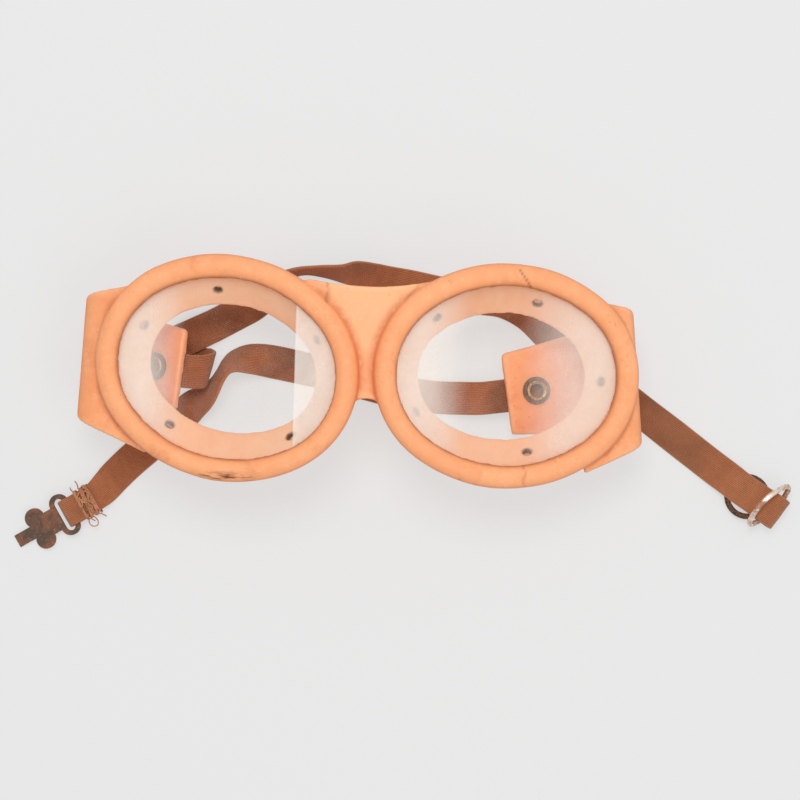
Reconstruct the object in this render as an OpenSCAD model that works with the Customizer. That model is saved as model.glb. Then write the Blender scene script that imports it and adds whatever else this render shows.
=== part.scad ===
// Rubber eye-cup goggles with a two-piece elastic head strap, laid lens side up on a flat surface.
// Millimetres. +Z up, +X to the wearer's left eye, origin under the middle of the mask, on the surface.

/* [Eyes] */
// Half the long axis of each lens opening
eye_a = 31; // [29:0.5:34]
// Half the short axis of each lens opening
eye_b = 25; // [22:0.5:27]
// Distance between the two lens centres
eye_spacing = 79; // [78:0.5:84]
// How far the middle between the lenses lies off the middle of the mask
eye_shift = 2; // [-3:0.5:3]
// Height of the lens centres above the surface
eye_z = 31; // [30:0.5:36]
// Outward lean of each cup
cup_tilt = 6; // [2:0.5:8]
// Turn of the left oval in its own plane
left_roll = -12; // [-14:1:4]
// Turn of the right oval in its own plane
right_roll = 0; // [-4:1:14]

/* [Cups] */
// Width of the rounded rim round each lens
rim_w = 6.8; // [6:0.1:8]
// Height of the rim's crown above the lens face
crown_h = 3; // [2.4:0.1:3.4]
// Thickness of the cup wall
wall = 2.4; // [2:0.1:3]
// How far the ledge behind the lens reaches inwards
ledge_run = 6.2; // [4:0.1:7.5]
// How far the ledge drops over that reach
ledge_drop = 6.4; // [5:0.1:7]
// How far the face skirt flares out again
skirt_flare = 3.6; // [1:0.1:5]
// Depth of the face skirt below the ledge
skirt_drop = 6; // [4:0.1:7]
// How far the rim's groove holds the lens edge
lip_grip = 1.8; // [1.2:0.1:2.4]
// Radius of the vent holes through the ledge
vent_r = 1.2; // [0.8:0.1:1.5]

/* [Lenses] */
// Thickness of each lens
lens_t = 2.4; // [1.8:0.1:3]
// Clearance of a lens in its groove
lens_gap = 0.05; // [0.02:0.01:0.1]

/* [Wings] */
// Thickness of the moulded wing sheet
sheet_t = 2.6; // [2:0.1:3]
// How far the left fold stands out beyond its rim
left_reach = 5; // [3:0.1:9]
// How far the right fold stands out beyond its rim
right_reach = 0.4; // [0:0.1:9]
// Bend radius at the middle of the folded sheet
fold_r = 4.5; // [3.5:0.1:5.5]
// Height of the fold's upper bend
fold_top = 23.5; // [22:0.1:25]
// How far the lower bend sits inside the upper one
fold_lean = 2.3; // [1:0.1:7]
// Half width of the left wing at its fold
left_fold_half = 17.2; // [15:0.1:20]
// Half width of the right wing at its fold
right_fold_half = 19; // [15:0.1:20]
// Half width of each wing where it leaves the rim
root_half = 25; // [20:0.1:26]
// Turn of the left wing about the vertical
left_heading = 6; // [0:1:10]
// Turn of the right wing about the vertical
right_heading = 9; // [0:1:12]
// Turn of the left fold against its tab
left_skew = 2.7; // [0:0.1:6]
// Turn of the right fold against its tab
right_skew = 3.8; // [0:0.1:6]
// How high the right wing rests, on the strap that runs under it
right_rest = 1.4; // [1.3:0.1:3]

/* [Tabs] */
// Half width of a strap tab at its free end
tab_half = 11.8; // [8:0.1:13]
// Slope of the left tab
left_slope = 30; // [20:1:34]
// Slope of the right tab
right_slope = 9; // [8:1:14]
// Length of the left tab beyond the lower bend
left_tab = 20.7; // [16:0.1:24]
// Length of the right tab beyond the lower bend
right_tab = 28.7; // [20:0.1:31]
// Distance of the eyelet from the tab's free end
eyelet_inset = 8.6; // [6:0.1:10]

/* [Bridge] */
// Thickness of the nose bridge
bridge_t = 3; // [2:0.1:4]
// Height of the bridge's mid plane
bridge_z = 31.6; // [30:0.1:33]
// Distance of the bridge's upper edge above the lens centres
bridge_top = 24; // [20:0.5:25]
// Distance of the bridge's lower edge below the lens centres
bridge_low = 7.5; // [4:0.5:10]

/* [Eyelets] */
// Radius of the open bore through an eyelet
bore_r = 2.1; // [1.8:0.05:2.3]
// Outer radius of the eyelet's barrel
barrel_r = 2.6; // [2.5:0.05:3]
// Radius of the eyelet's flange
flange_r = 4; // [3.6:0.1:4.4]
// Thickness of the flange
flange_t = 0.6; // [0.4:0.1:0.8]
// Outer radius of the washer under the turned petals
washer_r = 4.05; // [3.8:0.05:4.8]
// Thickness of that washer
washer_t = 0.5; // [0.4:0.1:0.8]
// Clearance between layers on an eyelet and round its barrel
rivet_gap = 0.1; // [0.05:0.01:0.2]

/* [Straps] */
// Width of the elastic webbing
strap_w = 9.8; // [8:0.1:10]
// Thickness of the webbing
strap_t = 1.2; // [0.8:0.1:1.2]

/* [Strap hook] */
// Thickness of the stamped plate
hook_t = 1; // [0.8:0.1:1.2]
// Length of the slotted eye that the strap is lashed in
hook_eye_l = 13; // [12.8:0.1:15]
// Width of that eye along the plate
hook_eye_w = 5.8; // [5.6:0.1:6.4]
// Width of the metal round the slot
hook_bar = 1.4; // [1.2:0.1:1.4]
// Radius of the two lobes
lobe_r = 2.9; // [2.5:0.1:3.2]
// Half the distance between the lobes
lobe_half = 3.5; // [3:0.1:4]
// Distance from the eye's centre to the lobes
lobe_x = 8.5; // [8:0.1:9.5]
// Distance from the eye's centre to the tongue's tip
hook_tip = 16.4; // [14:0.1:18]
// Width of the tongue
tongue_w = 3.9; // [3:0.1:4.5]
// Downward slope of the plate as it lies
hook_slope = 6.5; // [4:0.1:6.5]

/* [Rings] */
// Half length of the adjuster ring, to the middle of its wire
slider_a = 7.65; // [7.3:0.05:8.5]
// Half width of the adjuster ring, to the middle of its wire
slider_b = 3.6; // [3.4:0.05:4]
// Radius of the adjuster ring's wire
slider_r = 0.8; // [0.6:0.05:0.9]
// Lean of the adjuster ring as it lies
slider_tilt = 50; // [35:1:60]
// Radius of the hook ring, to the middle of its wire
ring_r = 5.85; // [5.6:0.05:6.2]
// Radius of the hook ring's wire
ring_wire = 0.85; // [0.7:0.05:0.9]

/* [Lashing] */
// Thickness of the lashing thread
thread_d = 0.5; // [0.3:0.05:0.6]
// Number of turns of thread round the folded strap end
thread_turns = 5; // [3:1:6]

/* [Hidden] */
LEFT = 0;
RIGHT = 1;
$fn = 48;

// what differs between the two sides
side = [-1, 1];
roll = [left_roll, right_roll];
reach = [left_reach, right_reach];
fold_half = [left_fold_half, right_fold_half];
heading = [left_heading, right_heading];
skew = [left_skew, right_skew];
fold_y = [2.3, 0.7];
rest = [0, right_rest];
slope = [left_slope, right_slope];
tab_len = [left_tab, right_tab];
vents = [[38, 108, 164, 242, 319], [-2, 71, 134, 209, 285]];

rim_half = (eye_a + rim_w) * cos(cup_tilt);
root_in = 17;                  // how far a wing's root reaches in under the rim
core_gap = lip_grip + 0.4;     // the wings and the bridge stop this far outside the lens opening
pocket = lip_grip - lens_gap;
chamfer = 0.3;
sheet_chamfer = 0.7;
slots = 6;                     // splits in the end of an eyelet that is turned over its washer

// the bar of the hook that the strap is folded over, and the far bar of the adjuster ring
hook_bar_at = [-84.3, -43, 2.6];
hook_heading = 211;
slider_bar_at = [122.3, -37.1, 2.7];
slider_heading = -35;
slider_skew = -10;
ring_at = [114.75, -33.2, 1.95];
ring_lift = 10;
lash_from = 3.8;               // distance of the first turn of thread from the hook's bar
lash_pitch = 0.62;
lash_z = 2.05;
lash_h = 3.1;                  // height and width inside the turns of thread
lash_w = 8.9;

// A strap point is [x, y, z, heading of the width, rise of the width, width where it is drawn in].
// The strap with the rings: from under the left tab, folded twice, over the top, to the rings.
ring_route = [
    [-61.3, 0.1, 4.55, 84, 0], [-58.3, -0.2, 6.27, 84, 0], [-54.5, -0.6, 8.45, 84, 0],
    [-50.9, -1, 10.4, 84, 0],
    [-48, -1.1, 10.8, 86, 0], [-45.8, -0.9, 9.4, 82, 0], [-44.5, -0.3, 7.4, 78, 0],
    [-44.2, 0.3, 5.3, 76, 0], [-44.6, 0.8, 3.2, 75, 0], [-45.8, 1.3, 1.5, 70, 0],
    [-48, 1.6, 0.7, 66, 0], [-51.5, 2.8, 0.6, 66, 0], [-55, 4.3, 0.6, 72, 0], [-57.4, 5.4, 0.7, 92, 0],
    [-58.3, 5.8, 1.4, 92, 0], [-57.4, 6.4, 2.1, 92, 0], [-55, 7.4, 2.2, 112, 0], [-51, 9.2, 2.2, 119, 0],
    [-47, 11.2, 2.1, 119, 0], [-43.5, 13, 1.5, 118, 0], [-40, 15, 0.8, 118, 0], [-36.5, 17, 0.7, 119, 0],
    [-33, 19, 1.4, 122, 8], [-29.5, 21.5, 2.7, 124, 25], [-26.5, 24, 4.1, 126, 45],
    [-24, 26.5, 5, 124, 66], [-21.5, 28.5, 5.4, 112, 80], [-17.5, 29.5, 5.5, 98, 82],
    [-12, 29.5, 5.3, 88, 75], [-6.5, 29, 5, 86, 62], [-2.5, 29, 4.2, 86, 45], [2.5, 28, 3, 84, 27],
    [7.5, 27, 1.9, 80, 14], [13.5, 26, 1.3, 80, 7], [21.5, 24.5, 0.8, 80, 2], [28.5, 23.5, 0.6, 82, 0],
    [36, 23, 0.6, 84, 0], [42, 22, 0.6, 74, 0], [49, 18.5, 0.6, 52, 0], [55.5, 12.5, 0.6, 48, 0],
    [63, 6, 0.6, 50, 0], [77, -4.5, 0.6, 54, 0], [90, -14, 0.6, 54, 0], [103.5, -24, 1, 54, 0],
    [109, -28, 2.4, 54, 0], [113, -31, 3.4, 55, 0], [117.5, -34, 4.4, 55, 0], [120.8, -36.1, 5.2, 55, 0],
    [122.3, -37.1, 5.4, 55, 0], [123.4, -37.9, 5.1, 55, 0], [124, -38.3, 4.1, 55, 0],
    [124, -38.3, 2.1, 55, 0], [123.4, -37.9, 1.1, 55, 0], [122.3, -37.1, 0.7, 55, 0],
    [120.7, -36, 0.6, 55, 0], [118.6, -34.5, 0.6, 55, 0]
];
// The strap with the hook: from under the right tab, behind the bridge, turned on edge, to the hook.
hook_route = [
    [54.3, -3.6, 3.32, 279, 0], [50.9, -4.15, 3.87, 279, 0], [46.7, -4.8, 4.53, 279, 0],
    [42.5, -5.5, 5.2, 279, 0], [39, -6, 5.3, 275, 0], [35, -6.5, 4.7, 272, 0], [29.5, -6.6, 3.4, 270, 0],
    [23.5, -6.6, 2.1, 268, 0], [17.5, -6.2, 1.1, 266, 0], [11.5, -5.3, 0.6, 262, 0],
    [5.5, -4, 0.6, 259, 0], [-6.5, -1.2, 0.6, 258, 0], [-20, 1.5, 0.6, 258, 0], [-25.5, 2.5, 0.9, 260, 3],
    [-30.5, 3.2, 2, 264, 18], [-34.5, 3.2, 3.4, 272, 36], [-37.6, 2.4, 4.3, 286, 52],
    [-39.6, 0.8, 4.9, 304, 62], [-41.1, -1.6, 5, 318, 66], [-42.8, -4.5, 4.8, 326, 62],
    [-45.4, -7.5, 3.9, 324, 46], [-49, -10.5, 2.5, 318, 22], [-52.5, -14, 1, 316, 5],
    [-57, -18.5, 0.6, 314, 0], [-66.5, -27, 0.6, 313, 0], [-71.5, -32, 0.6, 309, 0],
    [-75, -36, 1.4, 302, 0, 9.4], [-78, -38.9, 2.4, 300, 0, 8.4], [-80.8, -40.8, 2.6, 301, 0, 8.4],
    [-82.8, -42.1, 3.8, 301, 0, 8.4], [-84.3, -43, 4.4, 301, 0, 8.4], [-85.5, -43.7, 4.1, 301, 0, 8.4],
    [-86, -44, 3, 301, 0, 8.4], [-85.9, -44, 2, 301, 0, 8.4], [-85.2, -43.6, 1.1, 301, 0, 8.4],
    [-83.8, -42.7, 0.8, 301, 0, 8.4], [-80.8, -40.8, 1.2, 301, 0, 8.4], [-77.9, -39, 1.2, 301, 0, 8.4]
];

function unit(v) = v / norm(v);
function along(h, rise) = [cos(h) * cos(rise), sin(h) * cos(rise), sin(rise)];
function arc(c, r, from, to, n) =
    [for (i = [0:n]) c + r * [cos(from + (to - from) * i / n), sin(from + (to - from) * i / n)]];
function run(p, i) = i == 0 ? 0 : run(p, i - 1) + norm(p[i] - p[i - 1]);
function heading_at(p, i) = unit(p[min(i + 1, len(p) - 1)] - p[max(i - 1, 0)]);
// a flat section with bevelled corners: half width h, half thickness q, bevel c
function flat_section(h, q, c) =
    [[h, c - q], [h, q - c], [h - c, q], [c - h, q], [-h, q - c], [-h, c - q], [c - h, -q], [h - c, -q]];

// Oval of four tangent arcs that meet on the lines of a 3-4-5 triangle, so that every joint is exact:
// end radius, end centre, side radius and how far the side centres lie beyond the middle
function end_r(a, b) = 1.5 * b - 0.5 * a;
function end_x(a, b) = 1.5 * (a - b);
function side_r(a, b) = end_r(a, b) + 2.5 * (a - b);
function side_y(a, b) = 2 * (a - b);

module oval(a, b, grow) {
    for (s = [-1, 1]) translate([s * end_x(a, b), 0]) circle(r = end_r(a, b) + grow);
    intersection() {
        translate([0, side_y(a, b)]) circle(r = side_r(a, b) + grow);
        translate([0, -side_y(a, b)]) circle(r = side_r(a, b) + grow);
        square([2 * (end_x(a, b) + 0.6 * (end_r(a, b) + grow)), 3 * b], center = true);
    }
}

// carries a profile, drawn outwards from the oval's edge, once round the oval
module oval_sweep(a, b) {
    far = 2 * a;
    p = end_x(a, b);
    q = side_y(a, b);
    for (turn = [0, 180]) rotate([0, 0, turn]) {
        intersection() {
            translate([p, 0, 0]) rotate_extrude() translate([end_r(a, b), 0]) children();
            translate([0, 0, -far]) linear_extrude(2 * far)
                polygon([[p, 0], [p + 0.6 * far, 0.8 * far], [p + 2 * far, 0], [p + 0.6 * far, -0.8 * far]]);
        }
        intersection() {
            translate([0, -q, 0]) rotate_extrude() translate([side_r(a, b), 0]) children();
            translate([0, 0, -far]) linear_extrude(2 * far)
                polygon([[0, -q], [1.2 * far, 1.6 * far - q], [-1.2 * far, 1.6 * far - q]]);
        }
    }
}

// closed solid through a row of rings with the same number of points
module loft(rings) {
    n = len(rings[0]);
    m = len(rings);
    sides = [for (i = [0:m - 2], j = [0:n - 1]) each [
        [i * n + j, (i + 1) * n + (j + 1) % n, i * n + (j + 1) % n],
        [i * n + j, (i + 1) * n + j, (i + 1) * n + (j + 1) % n]
    ]];
    first = [for (j = [0:n - 1]) j];
    last = [for (j = [n - 1:-1:0]) (m - 1) * n + j];
    polyhedron([for (r = rings) each r], concat(sides, [first, last]));
}

function strap_width(p) = len(p) > 5 ? min(p[5], strap_w) : strap_w;

module strap(route) {
    path = [for (p = route) [p.x, p.y, p.z]];
    loft([for (i = [0:len(route) - 1])
        let (t = heading_at(path, i), w = along(route[i][3], route[i][4]), n = cross(t, w))
        [for (s = flat_section(strap_width(route[i]) / 2, strap_t / 2, chamfer))
            path[i] + w * s.x / norm(n) + unit(n) * s.y]]);
}

// polyline of even thickness with mitred corners
function mitre(p, i) = let (
    a = unit(p[max(i, 1)] - p[max(i, 1) - 1]),
    b = unit(p[min(i + 1, len(p) - 1)] - p[min(i, len(p) - 2)])
) [-a.y - b.y, a.x + b.x] / (1 + a * b);

module ribbon(p, w) {
    polygon(concat(
        [for (i = [0:len(p) - 1]) p[i] + mitre(p, i) * w / 2],
        [for (i = [len(p) - 1:-1:0]) p[i] - mitre(p, i) * w / 2]
    ));
}

module cup_frame(s) {
    translate([eye_shift + side[s] * eye_spacing / 2, 0, eye_z])
        rotate([0, side[s] * cup_tilt, 0]) rotate([0, 0, roll[s]]) children();
}

module cup_profile() {
    seat = -lens_t - wall / 2 - 0.2;
    knee = 0.6;
    hem = [knee - ledge_run + skirt_flare, seat - ledge_drop - skirt_drop];
    difference() {
        union() {
            translate([rim_w / 2, crown_h - rim_w / 2]) circle(d = rim_w);
            ribbon([
                [rim_w / 2 + 0.4, seat + 1.9], [knee, seat], [knee - ledge_run, seat - ledge_drop], hem
            ], wall);
            translate(hem) circle(d = wall + 0.6);
        }
        translate([-rim_w, -lens_t]) square([rim_w + lip_grip, lens_t]);
    }
}

module cup(s) {
    cup_frame(s) oval_sweep(eye_a, eye_b) cup_profile();
}

// space that the wings and the bridge must leave to the eye and its lens
module cup_core(s) {
    cup_frame(s) translate([0, 0, -12]) linear_extrude(18) oval(eye_a, eye_b, core_gap);
}

module vent_holes(s) {
    cup_frame(s) for (v = vents[s])
        translate([(eye_a - ledge_run / 2) * cos(v), (eye_b - ledge_run / 2) * sin(v), -lens_t - ledge_drop / 2])
            rotate([0, 0, atan2(sin(v) / eye_b, cos(v) / eye_a)]) rotate([0, 135, 0])
                translate([0, 0, -1.5]) cylinder(r = vent_r, h = 6);
}

// frame of a wing: origin under its fold, X outwards, on the surface
module wing_frame(s) {
    translate([side[s] * (rim_half + reach[s] + eye_spacing / 2) + eye_shift, fold_y[s], rest[s]])
        mirror([s == LEFT ? 1 : 0, 0, 0]) rotate([0, 0, heading[s]]) children();
}

upper_bend = [-sheet_t / 2 - fold_r, fold_top - fold_r];
lower_bend = [upper_bend.x - fold_lean, sheet_t / 2 + fold_r];
bend_side = atan2(lower_bend.x - upper_bend.x, upper_bend.y - lower_bend.y);
function tab_start(s) = lower_bend - fold_r * [sin(slope[s]), cos(slope[s])];
function on_tab(s, d) = tab_start(s) + d * [-cos(slope[s]), sin(slope[s])];
function root_point(s) = let (top = upper_bend + fold_r * [sin(cup_tilt), cos(cup_tilt)])
    top + (top.x + reach[s] + root_in) * [-1, tan(cup_tilt)];
function wing_path(s) = concat(
    [root_point(s)], arc(upper_bend, fold_r, 90 - cup_tilt, bend_side, 6),
    arc(lower_bend, fold_r, bend_side, -90 - slope[s], 6), [on_tab(s, tab_len[s])]
);
bend_end = 7;                  // index in wing_path where the upper bend ends
function wing_half(s, p, i) = i <= bend_end
    ? root_half + (fold_half[s] - root_half) * run(p, i) / run(p, bend_end)
    : fold_half[s] + (tab_half - fold_half[s])
        * (run(p, i) - run(p, bend_end)) / (run(p, len(p) - 1) - run(p, bend_end));

function wing_skew(s, p, i) = tan(skew[s]) * min(1, (len(p) - 1 - i) / (len(p) - 1 - bend_end));

module wing_sheet(s) {
    p = wing_path(s);
    wing_frame(s) loft([for (i = [0:len(p) - 1]) let (t = heading_at(p, i))
        [for (q = flat_section(wing_half(s, p, i), sheet_t / 2, sheet_chamfer))
            [p[i].x - t.y * q.y + q.x * wing_skew(s, p, i), q.x, p[i].y + t.x * q.y]]]);
}

// frame of an eyelet: origin at the middle of the tab's thickness, Z out of its upper face
module eyelet_frame(s) {
    at = on_tab(s, tab_len[s] - eyelet_inset);
    wing_frame(s) translate([at.x, 0, at.y]) rotate([0, slope[s], 0]) children();
}

module bridge() {
    top_r = 86;
    low_r = 6;
    translate([eye_shift, 0, bridge_z - bridge_t / 2]) linear_extrude(bridge_t) difference() {
        polygon([
            [-17, bridge_top + 2], [17, bridge_top + 2], [20, bridge_top - 3],
            [5, -bridge_low - 1], [-5, -bridge_low - 1], [-20, bridge_top - 3]
        ]);
        translate([0, bridge_top + top_r]) circle(r = top_r, $fn = 96);
        translate([0, -bridge_low - low_r]) circle(r = low_r);
    }
}

module mask_body() {
    color("sandybrown") union() {
        for (s = [LEFT, RIGHT]) difference() {
            cup(s);
            vent_holes(s);
        }
        difference() {
            union() {
                for (s = [LEFT, RIGHT]) wing_sheet(s);
                bridge();
            }
            for (s = [LEFT, RIGHT]) {
                cup_core(s);
                eyelet_frame(s) cylinder(r = barrel_r + rivet_gap, h = 2 * sheet_t, center = true);
            }
        }
    }
}

module lens(s) {
    color("lightcyan", 0.5) cup_frame(s) translate([0, 0, lens_gap - lens_t])
        linear_extrude(lens_t - 2 * lens_gap) oval(eye_a, eye_b, pocket);
}

// a barrel with a flange under the strap and six petals turned out over the washer
module eyelet(s) {
    low = -sheet_t / 2 - 2 * rivet_gap - strap_t - flange_t;
    top = sheet_t / 2 + rivet_gap + washer_t;
    petal = 0.35;
    color("peru") eyelet_frame(s) difference() {
        rotate_extrude() {
            translate([bore_r, low]) square([barrel_r - bore_r, top - low + petal]);
            translate([bore_r, low]) square([flange_r - bore_r - flange_t / 2, flange_t]);
            translate([flange_r - flange_t / 2, low + flange_t / 2]) circle(d = flange_t);
            translate([barrel_r, top + petal]) circle(r = petal);
        }
        for (i = [0:slots - 1]) rotate([0, 0, i * 360 / slots])
            translate([bore_r / 2, -0.15, top]) cube([bore_r + barrel_r, 0.3, 3 * petal]);
    }
}

module washer(s) {
    color("saddlebrown") eyelet_frame(s) translate([0, 0, sheet_t / 2 + rivet_gap / 2]) difference() {
        cylinder(r = washer_r, h = washer_t);
        translate([0, 0, -1]) cylinder(r = barrel_r + rivet_gap, h = 2 + washer_t);
    }
}

module riveted_strap(route, s) {
    color("sienna") difference() {
        strap(route);
        eyelet_frame(s) translate([0, 0, -3 * strap_t]) cylinder(r = barrel_r + rivet_gap, h = 2.5 * strap_t);
    }
}

// frame of the hook: origin on the bar in the strap's fold, X towards the tongue
module hook_frame() {
    translate(hook_bar_at) rotate([0, 0, hook_heading]) rotate([0, hook_slope, 0]) children();
}

module strap_hook() {
    eye_x = (hook_eye_w - hook_bar) / 2;
    slot_r = hook_eye_w / 2 - hook_bar;
    slot_x = (hook_eye_l / 2 - hook_bar) - slot_r;
    neck_w = 7.2;
    color("dimgray") hook_frame() translate([eye_x, 0, -hook_t / 2]) linear_extrude(hook_t) difference() {
        union() {
            for (y = [-1, 1]) {
                translate([0, y * (hook_eye_l - hook_eye_w) / 2]) circle(d = hook_eye_w);
                translate([lobe_x, y * lobe_half]) circle(r = lobe_r);
            }
            square([hook_eye_w, hook_eye_l - hook_eye_w], center = true);
            translate([slot_r, -neck_w / 2]) square([lobe_x - slot_r, neck_w]);
            translate([lobe_x - lobe_r, -tongue_w / 2]) square([hook_tip - lobe_x + lobe_r, tongue_w]);
        }
        for (y = [-1, 1]) translate([0, y * slot_x]) circle(r = slot_r);
        square([2 * slot_r, 2 * slot_x], center = true);
    }
}

// turns of thread round the doubled end of the hook strap
module thread_lashing() {
    color("peru") translate([hook_bar_at.x, hook_bar_at.y, lash_z]) rotate([0, 0, hook_heading])
        for (i = [0:thread_turns - 1]) translate([-lash_from - i * lash_pitch, 0, 0])
            rotate([90, 0, 90]) linear_extrude(thread_d, center = true) difference() {
                square([lash_w + 2 * thread_d, lash_h + 2 * thread_d], center = true);
                square([lash_w, lash_h], center = true);
            }
}

module adjuster_ring() {
    color("silver") translate(slider_bar_at) rotate([0, 0, slider_heading + slider_skew])
        rotate([0, slider_tilt, 0]) translate([-slider_b, 0, 0]) rotate([0, 0, 90])
            oval_sweep(slider_a, slider_b) circle(r = slider_r, $fn = 24);
}

module hook_ring() {
    color("gray") translate(ring_at) rotate([0, 0, slider_heading]) rotate([0, -ring_lift, 0])
        rotate_extrude() translate([ring_r, 0]) circle(r = ring_wire, $fn = 24);
}

mask_body();
lens(LEFT);  // left_lens
lens(RIGHT);  // right_lens
eyelet(LEFT);  // left_eyelet
eyelet(RIGHT);  // right_eyelet
washer(LEFT);  // left_washer
washer(RIGHT);  // right_washer
riveted_strap(hook_route, RIGHT);  // hook_strap
riveted_strap(ring_route, LEFT);  // ring_strap
strap_hook();
thread_lashing();
adjuster_ring();
hook_ring();
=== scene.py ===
import bpy
import bmesh
import math
import random
import numpy as np
from mathutils import Matrix, Vector


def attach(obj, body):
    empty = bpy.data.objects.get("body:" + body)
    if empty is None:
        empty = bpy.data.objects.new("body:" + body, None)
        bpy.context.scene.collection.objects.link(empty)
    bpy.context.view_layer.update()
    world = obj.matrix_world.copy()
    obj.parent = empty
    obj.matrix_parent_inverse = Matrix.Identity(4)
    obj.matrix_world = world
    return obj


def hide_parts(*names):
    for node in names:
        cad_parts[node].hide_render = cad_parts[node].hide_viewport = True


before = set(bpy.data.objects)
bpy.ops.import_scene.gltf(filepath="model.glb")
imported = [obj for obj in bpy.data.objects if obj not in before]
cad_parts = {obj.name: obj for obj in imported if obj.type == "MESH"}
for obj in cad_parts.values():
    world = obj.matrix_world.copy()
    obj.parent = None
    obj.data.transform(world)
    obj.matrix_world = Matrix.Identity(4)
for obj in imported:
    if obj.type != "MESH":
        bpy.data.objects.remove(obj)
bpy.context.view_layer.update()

mm = 0.001


cameraSet = {
    "place": (11.6 * mm, -7.6 * mm, 634 * mm),
    "turn": 1.6,        # degrees about the line of sight
    "lens": 96.43,
    "sensor": 36,
}

lightSet = {
    "sky": (1.0, 1.0, 1.0, 1),
    "skyPower": 0.6,
    "keyPlace": (-0.05, 0.34, 0.95),
    "keySize": 0.45,
    "keyPower": 4.0,
    "fillPlace": (0.45, -0.3, 0.8),
    "fillSize": 0.6,
    "fillPower": 1.5,
    "floor": (0.24, 0.24, 0.24, 1),
    "floorGlow": 0.56,      # most of the floor's light is its own, so shadows on it stay faint
}


def makeCamera():
    data = bpy.data.cameras.new("camera")
    data.lens = cameraSet["lens"]
    data.sensor_width = cameraSet["sensor"]
    data.clip_start = 0.01
    camera = bpy.data.objects.new("camera", data)
    camera.location = cameraSet["place"]
    camera.rotation_euler = (0, 0, math.radians(cameraSet["turn"]))
    bpy.context.collection.objects.link(camera)
    bpy.context.scene.camera = camera


def areaLight(name, place, size, power):
    data = bpy.data.lights.new(name, "AREA")
    data.shape = "DISK"
    data.size = size
    data.energy = power
    lamp = bpy.data.objects.new(name, data)
    lamp.location = place
    lamp.rotation_euler = (-Vector(place)).to_track_quat("-Z", "Y").to_euler()
    bpy.context.collection.objects.link(lamp)


def makeStage():
    world = bpy.data.worlds.new("studio")
    bpy.context.scene.world = world
    world.use_nodes = True
    back = world.node_tree.nodes["Background"]
    back.inputs["Color"].default_value = lightSet["sky"]
    back.inputs["Strength"].default_value = lightSet["skyPower"]
    areaLight("keyLight", lightSet["keyPlace"], lightSet["keySize"], lightSet["keyPower"])
    areaLight("fillLight", lightSet["fillPlace"], lightSet["fillSize"], lightSet["fillPower"])
    mesh = bpy.data.meshes.new("floor")
    bm = bmesh.new()
    bmesh.ops.create_grid(bm, x_segments=1, y_segments=1, size=3)
    bm.to_mesh(mesh)
    bm.free()
    floor = bpy.data.objects.new("floor", mesh)
    bpy.context.collection.objects.link(floor)
    mat = bpy.data.materials.new("paleFloor")
    mat.use_nodes = True
    skin = mat.node_tree.nodes["Principled BSDF"]
    skin.inputs["Base Color"].default_value = lightSet["floor"]
    skin.inputs["Roughness"].default_value = 1.0
    skin.inputs["Specular IOR Level"].default_value = 0.0
    skin.inputs["Emission Color"].default_value = (1, 1, 1, 1)
    skin.inputs["Emission Strength"].default_value = lightSet["floorGlow"]
    mesh.materials.append(mat)


makeCamera()
makeStage()
bpy.context.scene.view_settings.view_transform = "Standard"
print("camera, light and floor")


class Wiring:
    # short ways to place and join nodes in one tree
    def __init__(self, tree):
        self.tree = tree
        self.nodes = tree.nodes
        self.links = tree.links

    def add(self, kind, values=None, **settings):
        node = self.nodes.new(kind)
        for key, value in settings.items():
            setattr(node, key, value)
        for key, value in (values or {}).items():
            self.put(node.inputs[key], value)
        return node

    def put(self, socket, value):
        if isinstance(value, bpy.types.NodeSocket):
            self.links.new(value, socket)
        else:
            socket.default_value = value

    def noise(self, scale, detail=4.0, rough=0.55, vector=None, warp=0.0):
        node = self.add("ShaderNodeTexNoise", {"Scale": scale, "Detail": detail, "Roughness": rough,
                                               "Distortion": warp})
        self.links.new(vector or self.place(), node.inputs["Vector"])
        return node.outputs["Fac"]

    def place(self):
        if not hasattr(self, "placeOut"):
            self.placeOut = self.add("ShaderNodeTexCoord").outputs["Object"]
        return self.placeOut

    def field(self, name):
        return self.add("ShaderNodeAttribute", attribute_name=name).outputs["Fac"]

    def math(self, what, a, b=0.0, c=0.0, clamp=False):
        return self.add("ShaderNodeMath", {0: a, 1: b, 2: c}, operation=what, use_clamp=clamp).outputs[0]

    def step(self, value, low, high, outLow=0.0, outHigh=1.0, how="LINEAR"):
        return self.add("ShaderNodeMapRange", {"Value": value, "From Min": low, "From Max": high,
                                               "To Min": outLow, "To Max": outHigh},
                        interpolation_type=how).outputs["Result"]

    def mix(self, fac, a, b):
        node = self.add("ShaderNodeMix", data_type="RGBA")
        self.put(node.inputs[0], fac)
        self.put(node.inputs[6], a)
        self.put(node.inputs[7], b)
        return node.outputs[2]

    def bump(self, height, strength, depth):
        return self.add("ShaderNodeBump", {"Height": height, "Strength": strength,
                                           "Distance": depth}).outputs["Normal"]


def newGroup(name, inputs, outputs):
    tree = bpy.data.node_groups.new(name, "ShaderNodeTree")
    for label, kind, value in inputs:
        socket = tree.interface.new_socket(label, in_out="INPUT", socket_type="NodeSocket" + kind)
        socket.default_value = value
    for label, kind in outputs:
        tree.interface.new_socket(label, in_out="OUTPUT", socket_type="NodeSocket" + kind)
    w = Wiring(tree)
    w.inlet = w.add("NodeGroupInput").outputs
    w.outlet = w.add("NodeGroupOutput").inputs
    return w


def newMaterial(name, **values):
    mat = bpy.data.materials.new(name)
    mat.use_nodes = True
    w = Wiring(mat.node_tree)
    w.skin = mat.node_tree.nodes["Principled BSDF"]
    w.mat = mat
    for key, value in values.items():
        w.skin.inputs[key].default_value = value
    return w


def rgb(r, g, b):
    # display values 0..255 to scene-linear colour
    def channel(v):
        v = v / 255
        return v / 12.92 if v <= 0.04045 else ((v + 0.055) / 1.055) ** 2.4
    return (channel(r), channel(g), channel(b), 1)


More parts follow.
